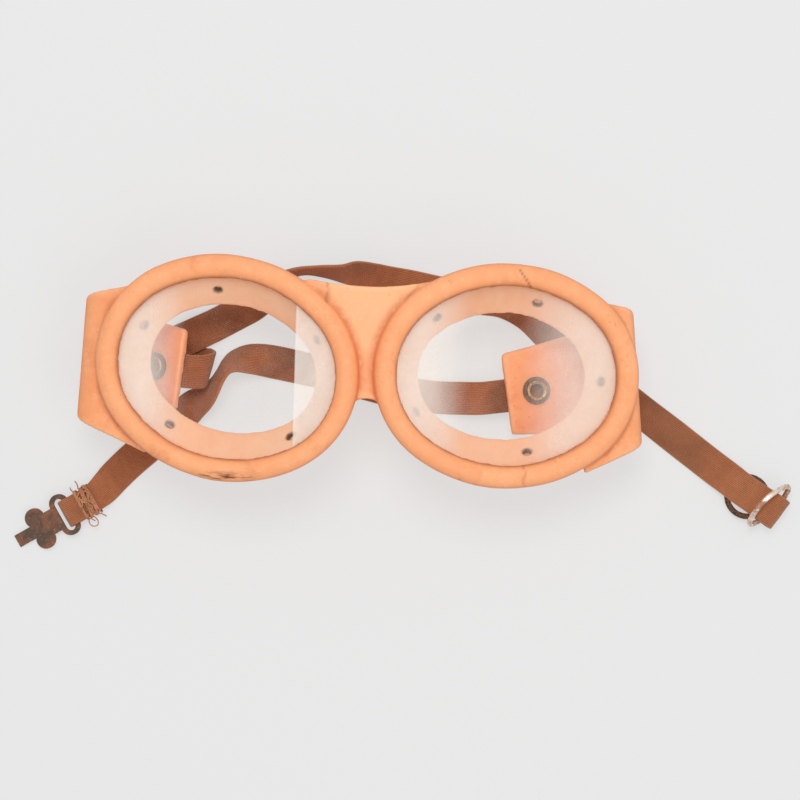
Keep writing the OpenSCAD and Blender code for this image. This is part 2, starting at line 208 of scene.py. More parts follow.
def makeMottleGroup():
    # two sizes of soft cloud between 0 and 1, for colour that drifts over a surface
    w = newGroup("mottle", [("Scale", "Float", 60.0), ("Fine", "Float", 6.0), ("Contrast", "Float", 2.0)],
                 [("Cloud", "Float")])
    place = w.place()
    broad = w.noise(w.inlet["Scale"], 3, 0.6, place, 0.4)
    fine = w.noise(w.math("MULTIPLY", w.inlet["Scale"], w.inlet["Fine"]), 5, 0.65, place)
    both = w.math("ADD", w.math("MULTIPLY", broad, 0.65), w.math("MULTIPLY", fine, 0.35))
    push = w.math("MULTIPLY", w.math("SUBTRACT", both, 0.5), w.inlet["Contrast"])
    w.put(w.outlet["Cloud"], w.math("ADD", push, 0.5, clamp=True))
    return w.tree


def makeSpeckGroup():
    # scattered small marks, 1 in a mark
    w = newGroup("specks", [("Scale", "Float", 400.0), ("Cover", "Float", 0.2), ("Patch", "Float", 40.0)],
                 [("Mark", "Float")])
    place = w.place()
    cells = w.add("ShaderNodeTexVoronoi", {"Scale": w.inlet["Scale"], "Vector": place})
    ragged = w.math("ADD", cells.outputs["Distance"],
                    w.math("MULTIPLY", w.noise(900, 2, 0.5, place), 0.15))
    patch = w.noise(w.inlet["Patch"], 3, 0.5, place)
    reach = w.math("MULTIPLY", w.inlet["Cover"], w.step(patch, 0.42, 0.7))
    w.put(w.outlet["Mark"], w.step(w.math("SUBTRACT", reach, ragged), -0.16, -0.1))
    return w.tree


def makeRustGroup():
    # colour, roughness and height of corroded steel
    w = newGroup("rust", [("Dark", "Color", rgb(60, 44, 36)), ("Warm", "Color", rgb(146, 96, 66)),
                          ("Pale", "Color", rgb(176, 148, 120)), ("Scale", "Float", 260.0)],
                 [("Color", "Color"), ("Roughness", "Float"), ("Height", "Float")])
    place = w.place()
    broad = w.noise(w.inlet["Scale"], 5, 0.62, place, 0.5)
    fine = w.noise(w.math("MULTIPLY", w.inlet["Scale"], 5.0), 6, 0.7, place)
    colour = w.mix(w.step(broad, 0.4, 0.62), w.inlet["Dark"], w.inlet["Warm"])
    colour = w.mix(w.step(fine, 0.55, 0.72), colour, w.inlet["Pale"])
    w.put(w.outlet["Color"], colour)
    w.put(w.outlet["Roughness"], w.step(broad, 0.35, 0.7, 0.5, 0.85))
    w.put(w.outlet["Height"], w.math("ADD", broad, w.math("MULTIPLY", fine, 0.5)))
    return w.tree


mottleGroup = makeMottleGroup()
speckGroup = makeSpeckGroup()
rustGroup = makeRustGroup()


def mottle(w, scale, fine=6.0, contrast=2.0):
    node = w.add("ShaderNodeGroup", node_tree=mottleGroup)
    for key, value in (("Scale", scale), ("Fine", fine), ("Contrast", contrast)):
        node.inputs[key].default_value = value
    return node.outputs["Cloud"]


def specks(w, scale, cover, patch):
    node = w.add("ShaderNodeGroup", node_tree=speckGroup)
    for key, value in (("Scale", scale), ("Cover", cover), ("Patch", patch)):
        node.inputs[key].default_value = value
    return node.outputs["Mark"]


def addPiece(name, points, faces, material, body):
    mesh = bpy.data.meshes.new(name)
    mesh.from_pydata([tuple(p) for p in points], [], faces)
    mesh.update()
    piece = bpy.data.objects.new(name, mesh)
    bpy.context.collection.objects.link(piece)
    mesh.materials.append(material)
    mesh.shade_smooth()
    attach(piece, body)
    return piece


def setField(mesh, name, values):
    field = mesh.attributes.new(name, "FLOAT", "POINT")
    field.data.foreach_set("value", np.asarray(values, dtype=np.float32))


def applied(piece):
    # swaps the piece's mesh for what its modifiers make of it
    graph = bpy.context.evaluated_depsgraph_get()
    mesh = bpy.data.meshes.new_from_object(piece.evaluated_get(graph))
    piece.modifiers.clear()
    piece.data = mesh
    return mesh


def smoothPath(points, steps):
    # a rounded curve through rows of numbers, with steps between each pair
    rows = np.array(points, dtype=float)
    rows = np.vstack([2 * rows[0] - rows[1], rows, 2 * rows[-1] - rows[-2]])
    out = []
    for i in range(1, len(rows) - 2):
        a, b, c, d = rows[i - 1], rows[i], rows[i + 1], rows[i + 2]
        for k in range(steps):
            t = k / steps
            out.append(0.5 * (2 * b + (c - a) * t + (2 * a - 5 * b + 4 * c - d) * t * t
                              + (3 * b - a - 3 * c + d) * t ** 3))
    out.append(rows[-2])
    return np.array(out)


def pathLength(points):
    return float(np.linalg.norm(np.diff(np.asarray(points)[:, :3], axis=0), axis=1).sum())


strapSet = {
    "width": 9.8,
    "thick": 1.0,
    "ribs": 17,
    "ribHeight": 0.06,
    "steps": 7,         # rows of vertices between two route points
    "across": 52,
    "wobble": 0.1,
}

# A route point is [x, y, z, heading of the width, rise of the width, width where it is drawn in].
ringRoute = [
    [-61.3, 0.1, 4.55, 84, 0], [-58.3, -0.2, 6.27, 84, 0], [-54.5, -0.6, 8.45, 84, 0],
    [-50.9, -1, 10.4, 84, 0], [-48, -1.1, 10.8, 86, 0], [-45.8, -0.9, 9.4, 82, 0],
    [-44.5, -0.3, 7.4, 78, 0], [-44.2, 0.3, 5.3, 76, 0], [-44.6, 0.8, 3.2, 75, 0],
    [-45.8, 1.3, 1.5, 70, 0], [-48, 1.6, 0.7, 66, 0], [-51.5, 2.8, 0.6, 66, 0], [-55, 4.3, 0.6, 72, 0],
    [-57.4, 5.4, 0.7, 92, 0], [-58.3, 5.8, 1.4, 92, 0], [-57.4, 6.4, 2.1, 92, 0], [-55, 7.4, 2.2, 112, 0],
    [-51, 9.2, 2.2, 119, 0], [-47, 11.2, 2.1, 119, 0], [-43.5, 13, 1.5, 118, 0], [-40, 15, 0.8, 118, 0],
    [-36.5, 17, 0.7, 119, 0], [-33, 19, 1.4, 122, 8], [-29.5, 21.5, 2.7, 124, 25],
    [-26.5, 24, 4.1, 126, 45], [-24, 26.5, 5, 124, 66], [-21.5, 28.5, 5.4, 112, 80],
    [-17.5, 29.5, 5.5, 98, 82], [-12, 29.5, 5.3, 88, 75], [-6.5, 29, 5, 86, 62], [-2.5, 29, 4.2, 86, 45],
    [2.5, 28, 3, 84, 27], [7.5, 27, 1.9, 80, 14], [13.5, 26, 1.3, 80, 7], [21.5, 24.5, 0.8, 80, 2],
    [28.5, 23.5, 0.6, 82, 0], [36, 23, 0.6, 84, 0], [42, 22, 0.6, 74, 0], [49, 18.5, 0.6, 52, 0],
    [55.5, 12.5, 0.6, 48, 0], [63, 6, 0.6, 50, 0], [77, -4.5, 0.6, 54, 0], [90, -14, 0.6, 54, 0],
    [103.5, -24, 1, 54, 0], [109, -28, 2.4, 54, 0], [113, -31, 3.4, 55, 0], [117.5, -34, 4.4, 55, 0],
    [120.8, -36.1, 5.2, 55, 0], [122.3, -37.1, 5.4, 55, 0], [123.4, -37.9, 5.1, 55, 0],
    [124, -38.3, 4.1, 55, 0], [124, -38.3, 2.1, 55, 0], [123.4, -37.9, 1.1, 55, 0],
    [122.3, -37.1, 0.7, 55, 0], [120.7, -36, 0.6, 55, 0], [118.6, -34.5, 0.6, 55, 0],
]
hookRoute = [
    [54.3, -3.6, 3.32, 279, 0], [50.9, -4.15, 3.87, 279, 0], [46.7, -4.8, 4.53, 279, 0],
    [42.5, -5.5, 5.2, 279, 0], [39, -6, 5.3, 275, 0], [35, -6.5, 4.7, 272, 0], [29.5, -6.6, 3.4, 270, 0],
    [23.5, -6.6, 2.1, 268, 0], [17.5, -6.2, 1.1, 266, 0], [11.5, -5.3, 0.6, 262, 0],
    [5.5, -4, 0.6, 259, 0], [-6.5, -1.2, 0.6, 258, 0], [-20, 1.5, 0.6, 258, 0], [-25.5, 2.5, 0.9, 260, 3],
    [-30.5, 3.2, 2, 264, 18], [-34.5, 3.2, 3.4, 272, 36], [-37.6, 2.4, 4.3, 286, 52],
    [-39.6, 0.8, 4.9, 304, 62], [-41.1, -1.6, 5, 318, 66], [-42.8, -4.5, 4.8, 326, 62],
    [-45.4, -7.5, 3.9, 324, 46], [-49, -10.5, 2.5, 318, 22], [-52.5, -14, 1, 316, 5],
    [-57, -18.5, 0.6, 314, 0], [-66.5, -27, 0.6, 313, 0], [-71.5, -32, 0.6, 309, 0],
    [-75, -36, 1.4, 302, 0, 9.4], [-78, -38.9, 2.4, 300, 0, 8.4], [-80.8, -40.8, 2.6, 301, 0, 8.4],
    [-82.8, -42.1, 3.8, 301, 0, 8.4], [-84.3, -43, 4.4, 301, 0, 8.4], [-85.5, -43.7, 4.1, 301, 0, 8.4],
    [-86, -44, 3, 301, 0, 8.4], [-85.9, -44, 2, 301, 0, 8.4], [-85.2, -43.6, 1.1, 301, 0, 8.4],
    [-83.8, -42.7, 0.8, 301, 0, 8.4], [-80.8, -40.8, 1.2, 301, 0, 8.4], [-77.9, -39, 1.2, 301, 0, 8.4],
]


def strapSection(width, thick):
    # closed outline of the webbing: ribs on both faces and rounded edges
    outline = []
    half = width / 2 - thick / 2
    for face in (1, -1):
        for i in range(strapSet["across"]):
            f = i / (strapSet["across"] - 1)
            rib = strapSet["ribHeight"] * (0.5 + 0.5 * math.cos(2 * math.pi * strapSet["ribs"] * f))
            outline.append((face * half * (1 - 2 * f), face * (thick / 2 + rib - strapSet["ribHeight"])))
        for k in (1, 2, 3):
            a = math.radians(90 - 45 * k)
            outline.append((-face * (half + thick / 2 * math.cos(a)), face * thick / 2 * math.sin(a)))
    return outline


def makeStrap(name, route, node, material, seed):
    draw = random.Random(seed)
    rows = smoothPath([(r + [strapSet["width"]])[:6] for r in route], strapSet["steps"])
    along = np.concatenate([[0], np.cumsum(np.linalg.norm(np.diff(rows[:, :3], axis=0), axis=1))])
    phases = [draw.uniform(0, 6.28) for _ in range(4)]
    points, across, length = [], [], []
    for i, row in enumerate(rows):
        ahead = rows[min(i + 1, len(rows) - 1)][:3] - rows[max(i - 1, 0)][:3]
        ahead = ahead / np.linalg.norm(ahead)
        h, rise = math.radians(row[3]), math.radians(row[4])
        side = np.array([math.cos(h) * math.cos(rise), math.sin(h) * math.cos(rise), math.sin(rise)])
        up = np.cross(ahead, side)
        stretch = 1 / np.linalg.norm(up)
        up = up * stretch
        s = along[i]
        waver = math.sin(s / 7 + phases[0]) + 0.6 * math.sin(s / 2.9 + phases[1])
        width = row[5] + strapSet["wobble"] * waver
        for u, v in strapSection(width, strapSet["thick"]):
            ripple = 0.03 * math.sin(s / 1.3 + phases[2] + u)
            spot = row[:3] + side * stretch * u + up * (v + ripple)
            spot[2] = max(spot[2], 0.02)
            points.append(spot * mm)
            across.append(u)
            length.append(s)
    n = len(strapSection(9, 1))
    faces = []
    for i in range(len(rows) - 1):
        for j in range(n):
            k = (j + 1) % n
            faces.append((i * n + j, (i + 1) * n + j, (i + 1) * n + k, i * n + k))
    faces.append(tuple(range(n)))
    faces.append(tuple((len(rows) - 1) * n + j for j in reversed(range(n))))
    strap = addPiece(name, points, faces, material, "mask")
    setField(strap.data, "acrossMm", across)
    setField(strap.data, "alongMm", length)
    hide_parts(node)
    return strap, [tuple(r[:3] * mm) for r in rows]


def makeWebbingMaterial():
    w = newMaterial("elasticWebbing", Roughness=0.85)
    w.skin.inputs["Sheen Weight"].default_value = 0.25
    w.skin.inputs["Sheen Roughness"].default_value = 0.6
    w.skin.inputs["Specular IOR Level"].default_value = 0.25
    across, along = w.field("acrossMm"), w.field("alongMm")
    ribTurn = 2 * math.pi * strapSet["ribs"] / (strapSet["width"] - strapSet["thick"])
    rib = w.math("COSINE", w.math("MULTIPLY", across, ribTurn))
    pick = w.math("SINE", w.math("MULTIPLY", along, 2 * math.pi / 0.62))
    knit = w.math("MULTIPLY", w.math("ADD", rib, 1.0), w.math("ADD", pick, 1.3))
    cloud = mottle(w, 70, 8, 2.4)
    colour = w.mix(cloud, rgb(160, 90, 50), rgb(196, 122, 78))
    colour = w.mix(w.step(rib, -1.0, 0.2, 0.62, 0.0), colour, rgb(116, 64, 36))
    colour = w.mix(w.step(knit, 2.6, 4.6, 0.0, 0.3), colour, rgb(212, 146, 100))
    stain = w.step(w.noise(34, 3, 0.5, None, 0.8), 0.55, 0.66, 0.0, 0.6)
    colour = w.mix(stain, colour, rgb(116, 74, 48))
    lengthwise = w.add("ShaderNodeCombineXYZ", {"X": w.math("MULTIPLY", along, mm)}).outputs[0]
    crossBand = w.step(w.noise(120, 2, 0.5, lengthwise), 0.5, 0.72, 0.0, 0.35)
    colour = w.mix(crossBand, colour, rgb(132, 80, 50))
    edge = w.step(w.math("ABSOLUTE", across), 4.5, 4.9, 0.0, 0.3)
    colour = w.mix(edge, colour, rgb(206, 146, 104))
    w.put(w.skin.inputs["Base Color"], colour)
    fuzz = w.noise(1800, 3, 0.6)
    height = w.math("ADD", knit, w.math("MULTIPLY", fuzz, 1.4))
    w.put(w.skin.inputs["Normal"], w.bump(height, 0.55, 0.00012))
    return w.mat


webbing = makeWebbingMaterial()
ringStrap, ringPath = makeStrap("elastic_ring_strap", ringRoute, "ring_strap", webbing, 3)
hookStrap, hookPath = makeStrap("elastic_hook_strap", hookRoute, "hook_strap", webbing, 8)
print("straps", round(pathLength(ringPath), 4), round(pathLength(hookPath), 4))


threadSet = {
    "bar": (-84.3, -43.0),      # middle of the hook's bar
    "heading": 211,
    "first": 3.2,
    "last": 7.4,
    "turns": 15,
    "halfWidth": 4.7,
    "low": 0.3,
    "high": 3.62,
    "radius": 0.17,
    "tangles": 16,      # short loose fibres lying over the turns
}


def makeThread():
    draw = random.Random(21)
    h = math.radians(threadSet["heading"])
    ahead = Vector((math.cos(h), math.sin(h), 0))
    side = Vector((-math.sin(h), math.cos(h), 0))
    bar = Vector((*threadSet["bar"], 0))
    middle = (threadSet["low"] + threadSet["high"]) / 2
    halfHeight = (threadSet["high"] - threadSet["low"]) / 2

    def spot(back, across, z):
        return (bar - ahead * back + side * across + Vector((0, 0, z))) * mm

    lines = []
    wound = []
    steps = 20
    for i in range(threadSet["turns"] * steps):
        a = 2 * math.pi * i / steps
        f = i / (threadSet["turns"] * steps)
        sweep = 0.5 - 0.5 * math.cos(5 * f * math.pi)
        back = threadSet["first"] + (threadSet["last"] - threadSet["first"]) * sweep
        back += draw.uniform(-0.1, 0.1) + 0.55 * math.sin(a / 2.3) * math.cos(a / 3.7)
        flat = abs(math.cos(a)) ** 0.35 * math.copysign(1, math.cos(a))
        tall = abs(math.sin(a)) ** 0.5 * math.copysign(1, math.sin(a))
        z = middle + (halfHeight + draw.uniform(0, 0.12)) * tall
        wound.append(spot(back, threadSet["halfWidth"] * flat, max(z, 0.25)))
    lines.append(wound)
    # stray loop at the outer corner, then loose ends
    loop = [(3.6, 4.6, 3.6), (2.9, 5.6, 3.4), (3.2, 7.0, 2.6), (4.4, 7.6, 2.0),
            (5.4, 6.9, 2.4), (5.6, 5.6, 3.2), (5.2, 4.4, 3.8)]
    lines.append([spot(*p) for p in loop])
    for start, bend, end in (((5.0, -4.6, 3.4), (5.6, -6.0, 2.6), (5.0, -7.2, 1.2)),
                             ((6.8, 4.5, 3.2), (7.8, 5.4, 2.0), (8.0, 6.3, 0.6)),
                             ((3.5, -4.5, 3.0), (2.6, -5.4, 2.2), (2.8, -6.2, 0.8))):
        lines.append([spot(*start), spot(*bend), spot(*end)])
    for _ in range(threadSet["tangles"]):
        back, across = draw.uniform(3.4, 7.0), draw.uniform(-4.4, 4.4)
        lines.append([spot(back + draw.uniform(-0.9, 0.9), across + k * draw.uniform(0.4, 0.9),
                           3.7 + draw.uniform(0.0, 0.35)) for k in range(-2, 3)])
    data = bpy.data.curves.new("wound_thread", "CURVE")
    data.dimensions = "3D"
    data.bevel_depth = threadSet["radius"] * mm
    data.bevel_resolution = 2
    data.resolution_u = 3
    for line in lines:
        spline = data.splines.new("POLY" if line is wound else "NURBS")
        spline.points.add(len(line) - 1)
        for point, place in zip(spline.points, line):
            point.co = (*place, 1)
        if spline.type == "NURBS":
            spline.order_u = 3
            spline.use_endpoint_u = True
    thread = bpy.data.objects.new("wound_thread", data)
    bpy.context.collection.objects.link(thread)
    w = newMaterial("frayedThread", Roughness=0.9)
    w.skin.inputs["Sheen Weight"].default_value = 0.3
    colour = w.mix(mottle(w, 300, 5, 3.0), rgb(148, 88, 54), rgb(208, 146, 104))
    colour = w.mix(w.step(w.noise(600, 3), 0.55, 0.7, 0.0, 0.6), colour, rgb(110, 64, 38))
    w.put(w.skin.inputs["Base Color"], colour)
    w.put(w.skin.inputs["Normal"], w.bump(w.noise(2600, 3), 0.6, 0.0001))
    data.materials.append(w.mat)
    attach(thread, "mask")
    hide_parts("thread_lashing")
    return thread


thread = makeThread()
print("thread")


def dress(node, material):
    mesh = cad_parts[node].data
    mesh.materials.clear()
    mesh.materials.append(material)
    for face in mesh.polygons:
        face.material_index = 0


def makeRustMaterial(name, dark, warm, pale, scale, metallic, depth):
    w = newMaterial(name, Metallic=metallic)
    node = w.add("ShaderNodeGroup", node_tree=rustGroup)
    for key, value in (("Dark", dark), ("Warm", warm), ("Pale", pale), ("Scale", scale)):
        node.inputs[key].default_value = value
    w.put(w.skin.inputs["Base Color"], node.outputs["Color"])
    w.put(w.skin.inputs["Roughness"], node.outputs["Roughness"])
    w.put(w.skin.inputs["Normal"], w.bump(node.outputs["Height"], 0.6, depth))
    return w.mat


def makeWornNickel():
    w = newMaterial("wornNickel")
    wear = mottle(w, 240, 5, 3.4)
    colour = w.mix(w.step(wear, 0.25, 0.75), rgb(255, 240, 226), rgb(172, 126, 96))
    w.put(w.skin.inputs["Base Color"], colour)
    w.put(w.skin.inputs["Metallic"], w.step(wear, 0.35, 0.85, 0.9, 0.4))
    w.put(w.skin.inputs["Roughness"], w.step(wear, 0.2, 0.8, 0.22, 0.6))
    w.put(w.skin.inputs["Normal"], w.bump(wear, 0.3, 0.00008))
    return w.mat


def makeBronze(name, bright, dull):
    w = newMaterial(name, Metallic=0.7)
    wear = mottle(w, 420, 4, 3.0)
    w.put(w.skin.inputs["Base Color"], w.mix(wear, bright, dull))
    w.put(w.skin.inputs["Roughness"], w.step(wear, 0.2, 0.8, 0.35, 0.62))
    w.put(w.skin.inputs["Normal"], w.bump(wear, 0.35, 0.00006))
    return w.mat


hookSteel = makeRustMaterial("rustedHook", rgb(86, 66, 52), rgb(140, 88, 64), rgb(162, 114, 88),
                             230, 0.15, 0.0001)
ringSteel = makeRustMaterial("rustedRing", rgb(58, 38, 28), rgb(116, 72, 48), rgb(196, 158, 122),
                             420, 0.3, 0.00008)
dress("strap_hook", hookSteel)
dress("hook_ring", ringSteel)
dress("adjuster_ring", makeWornNickel())
eyeletBronze = makeBronze("eyeletBronze", rgb(236, 196, 146), rgb(140, 98, 64))
washerBronze = makeBronze("washerBronze", rgb(140, 100, 70), rgb(92, 62, 44))
for side in ("left", "right"):
    dress(side + "_eyelet", eyeletBronze)
    dress(side + "_washer", washerBronze)
print("metal pieces")


lensSet = {
    # lens colour, seen in the haze and in the painted reflection bands
    "tint": (1.0, 0.93, 0.85, 1),
    "haze": (0.0, 0.035),
    # painted reflections, pale bands of light as (x in m where it starts, x where it is full, strength):
    # two on the left, two on the right
    "paintedReflections": (
        (-0.0184, -0.0180, 0.42),
        (-0.0480, -0.0640, 0.42),
        (0.0320, 0.0160, 0.42),
        (0.0440, 0.0620, 0.3),
    ),
    "middle": 0.002,        # the nose side of the left lens ends before this
}


def makeLensMaterial():
    w = newMaterial("hazedLens", Roughness=0.12, IOR=1.45)
    w.skin.inputs["Base Color"].default_value = lensSet["tint"]
    w.skin.inputs["Specular IOR Level"].default_value = 0.25
    haze = mottle(w, 26, 10, 1.8)
    # streaky strength of the painted reflection bands
    reflectionStreaks = w.step(w.noise(70, 4, 0.6, None, 0.6), 0.3, 0.7, 0.75, 1.1)
    marks = specks(w, 900, 0.22, 60)
    across = w.add("ShaderNodeSeparateXYZ", {0: w.place()}).outputs["X"]
    onLeft = w.math("LESS_THAN", across, lensSet["middle"])
    onRight = w.math("SUBTRACT", 1.0, onLeft)
    see = w.step(haze, 0.35, 0.8, *lensSet["haze"])
    # painted reflections: pale bands near the nose side and the outer end of each lens
    for i, (start, full, strength) in enumerate(lensSet["paintedReflections"]):
        reflectionRamp = w.step(across, start, full, 0.0, strength, "SMOOTHSTEP")
        reflectionBand = w.math("MULTIPLY", reflectionRamp, onLeft if i < 2 else onRight)
        see = w.math("ADD", see, w.math("MULTIPLY", reflectionBand, reflectionStreaks))
    see = w.math("ADD", see, w.math("MULTIPLY", marks, 0.05))
    w.put(w.skin.inputs["Alpha"], see)
    return w.mat


lensMaterial = makeLensMaterial()
dress("left_lens", lensMaterial)
dress("right_lens", lensMaterial)
print("lenses")


cupSet = {
    "halfLong": 31.0,
    "halfShort": 25.0,
    "spacing": 79.0,
    "shift": 2.0,
    "height": 31.0,
    "tilt": 6.0,
    "roll": (-12.0, 0.0),
    "rim": 6.8,
    "ventRing": (27.9, 21.9, -5.6),     # half axes and depth of the ring of vents
    "vents": ((38, 108, 164, 242, 319), (-2, 71, 134, 209, 285)),
}

rubberSet = {
    "voxel": 0.62 * mm,
    "smoothing": 6,
    "drift": 0.16,      # slow unevenness of the moulding, mm
    "hollowFull": 0.06,     # how sunk a point is where the painted crease shade and grime are full, mm
    "ventReach": 1.5,       # radius of the painted shade round a vent's axis, mm
    "ventLead": (0.66, -0.75),      # outward and downward run of a vent
    "crackHalf": 0.42,
    "crackDepth": 0.28,
    "wornAt": (-36, -30.6),
    "wornSize": (10, 1.3),
    # centre and half width of the painted light on the bridge, mm
    "bridgeAt": 2,
    "bridgeHalf": 13,
}

# cracks and splits in the surface: how deep, then points in mm seen from above
cracks = [
    (0.5, [(-9.7, 25.4), (-9.3, 23.2), (-9.8, 21.2), (-9.4, 19.6)]),
    (0.3, [(15.9, 24.6), (15.2, 23.6), (13.6, 22.0), (12.2, 20.6)]),
    (0.8, [(44.3, 30.0), (45.6, 28.0), (46.4, 26.6), (47.2, 25.2)]),
    (0.35, [(46.4, -24.8), (47.1, -27.0), (46.9, -29.0), (47.5, -31.0)]),
    (0.4, [(24.6, 26.0), (25.3, 25.4)]),
    (0.5, [(29.0, -29.4), (29.6, -30.3)]),
    (0.3, [(-16.6, 28.6), (-13.2, 26.8)]),
]


def cupLocal(points, side):
    # points in mm to the frame of one cup: x and y in the lens plane, z along its axis
    c = cupSet
    tilt = math.radians(c["tilt"] * side)
    roll = math.radians(c["roll"][0 if side < 0 else 1])
    turn = Matrix.Rotation(tilt, 3, "Y") @ Matrix.Rotation(roll, 3, "Z")
    centre = np.array([c["shift"] + side * c["spacing"] / 2, 0, c["height"]])
    return (points - centre) @ np.array(turn)


def ovalDistance(local):
    # how far each point lies outside the lens oval, which is four tangent arcs
    a, b = cupSet["halfLong"], cupSet["halfShort"]
    endX, endR = 1.5 * (a - b), 1.5 * b - 0.5 * a
    sideY, sideR = 2 * (a - b), 1.5 * b - 0.5 * a + 2.5 * (a - b)
    x, y = np.abs(local[:, 0]), np.abs(local[:, 1])
    fromEnd = np.hypot(x - endX, y) - endR
    fromSide = np.hypot(x, y + sideY) - sideR
    atEnd = (x - endX) * 0.8 > y * 0.6
    return np.where(atEnd, fromEnd, fromSide)


def neighbourMean(values, edges, count):
    total = np.zeros((count,) + values.shape[1:])
    np.add.at(total, edges[:, 0], values[edges[:, 1]])
    np.add.at(total, edges[:, 1], values[edges[:, 0]])
    links = np.bincount(edges.ravel(), minlength=count).clip(1)
    return total / links.reshape((-1,) + (1,) * (values.ndim - 1))


def lineDistance(points, line):
    best = np.full(len(points), 99.0)
    for a, b in zip(line[:-1], line[1:]):
        a, b = np.array(a), np.array(b)
        t = np.clip((points - a) @ (b - a) / ((b - a) @ (b - a)), 0, 1)
        best = np.minimum(best, np.linalg.norm(points - a - t[:, None] * (b - a), axis=1))
    return best


def makeMask(material):
    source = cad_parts["mask_body"]
    mask = bpy.data.objects.new("rubber_mask", source.data.copy())
    bpy.context.collection.objects.link(mask)
    mask.matrix_world = source.matrix_world.copy()
    mask.data.transform(mask.matrix_world)
    mask.matrix_world = Matrix.Identity(4)
    remesh = mask.modifiers.new("voxels", "REMESH")
    remesh.mode = "VOXEL"
    remesh.voxel_size = rubberSet["voxel"]
    relax = mask.modifiers.new("relax", "SMOOTH")
    relax.factor = 0.5
    relax.iterations = rubberSet["smoothing"]
    mesh = applied(mask)
    mesh.name = "rubber_mask"
    count = len(mesh.vertices)
    co = np.empty(count * 3)
    mesh.vertices.foreach_get("co", co)
    co = co.reshape(-1, 3) / mm
    normals = np.empty(count * 3)
    mesh.vertex_normals.foreach_get("vector", normals)
    normals = normals.reshape(-1, 3)
    edges = np.empty(len(mesh.edges) * 2, dtype=np.int64)
    mesh.edges.foreach_get("vertices", edges)
    edges = edges.reshape(-1, 2)

    hollow = ((neighbourMean(co, edges, count) - co) * normals).sum(axis=1)
    for _ in range(6):
        hollow = 0.5 * hollow + 0.5 * neighbourMean(hollow, edges, count)
    setField(mesh, "hollow", np.clip(hollow / rubberSet["hollowFull"], -1, 1))

    inner = np.zeros(count)
    rim = np.zeros(count)
    lensLine = np.zeros(count)
    for side in (-1, 1):
        local = cupLocal(co, side)
        d = ovalDistance(local)
        facing = -(normals @ np.array(Matrix.Rotation(math.radians(cupSet["tilt"] * side), 3, "Y")))[:, 2]
        inner = np.maximum(inner, ((d < 0.4) & (local[:, 2] < -1.5) & (local[:, 2] > -13)).astype(float))
        rim = np.maximum(rim, ((d < cupSet["rim"] + 0.3) & (local[:, 2] > -3.0)).astype(float))
        near = np.exp(-((d - 0.2) / 0.55) ** 2) * (local[:, 2] > -1.2) * (local[:, 2] < 2.2)
        lensLine = np.maximum(lensLine, near * (facing > -0.95))
    for name, values in (("inner", inner), ("rim", rim), ("lensLine", lensLine)):
        soft = 0.5 * values + 0.5 * neighbourMean(values, edges, count)
        setField(mesh, name, np.clip(soft, 0, 1))

    # where the painted shade of the vent holes goes
    vent = np.zeros(count)
    for side, angles in zip((-1, 1), cupSet["vents"]):
        local = cupLocal(co, side)
        long, short, deep = cupSet["ventRing"]
        for angle in np.radians(angles):
            hole = np.array([long * math.cos(angle), short * math.sin(angle), deep])
            out, down = rubberSet["ventLead"]
            lead = np.array([out * math.cos(angle), out * math.sin(angle), down])
            depth = np.clip((local - hole) @ lead, -0.8, 8)
            away = np.linalg.norm(local - hole - depth[:, None] * lead, axis=1)
            vent = np.maximum(vent, np.exp(-(away / rubberSet["ventReach"]) ** 8))
    setField(mesh, "vent", vent)

    crack = np.zeros(count)
    top = np.clip((normals[:, 2] + 0.1) * 2, 0, 1) * (co[:, 2] > 28)
    for deep, line in cracks:
        wander = 0.3 * np.sin(co[:, 0] * 1.4 + co[:, 1] * 1.1)
        away = lineDistance(co[:, :2] + wander[:, None], line)
        crack = np.maximum(crack, np.exp(-(away / rubberSet["crackHalf"]) ** 2) * top * deep)
    setField(mesh, "crack", crack)

    fromWorn = (co[:, :2] - rubberSet["wornAt"]) / rubberSet["wornSize"]
    wornPlace = (fromWorn ** 2).sum(axis=1)
    setField(mesh, "worn", np.exp(-wornPlace) * (co[:, 2] > 26))
    setField(mesh, "steep", np.clip(1 - np.abs(normals[:, 2]), 0, 1))
    # how near each point is to the ends of a cup, for the painted reflection there
    ends = np.zeros(count)
    for side in (-1, 1):
        local = cupLocal(co, side)
        ends = np.maximum(ends, np.where(np.abs(local[:, 0]) < 34, (np.abs(local[:, 0]) / 31) ** 2, 0))
    setField(mesh, "ends", np.clip(ends, 0, 1))
    # where the painted light on the bridge goes
    fromBridge = (co[:, 0] - rubberSet["bridgeAt"]) / rubberSet["bridgeHalf"]
    setField(mesh, "bridge", np.exp(-fromBridge ** 4) * (1 - rim) * (normals[:, 2] > 0))

    rng = np.random.RandomState(5)
    drift = np.zeros(count)
    for _ in range(9):
        wave = rng.normal(size=3)
        wave = wave / np.linalg.norm(wave) * rng.uniform(0.08, 0.34)
        drift += np.sin(co @ wave + rng.uniform(0, 6.28)) / 9 * 2.2
    shiftBy = rubberSet["drift"] * drift - rubberSet["crackDepth"] * crack
    resting = np.clip((co[:, 2] - 1.0) / 2.0, 0, 1)      # the parts on the surface stay where they are
    moved = co + normals * (shiftBy * resting)[:, None]
    moved[:, 2] = np.maximum(moved[:, 2], 0.02)
    mesh.vertices.foreach_set("co", (moved * mm).ravel())
    mesh.update()
    mesh.materials.clear()
    mesh.materials.append(material)
    for face in mesh.polygons:
        face.material_index = 0
    mesh.shade_smooth()
    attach(mask, "mask")
    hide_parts("mask_body")
    return mask


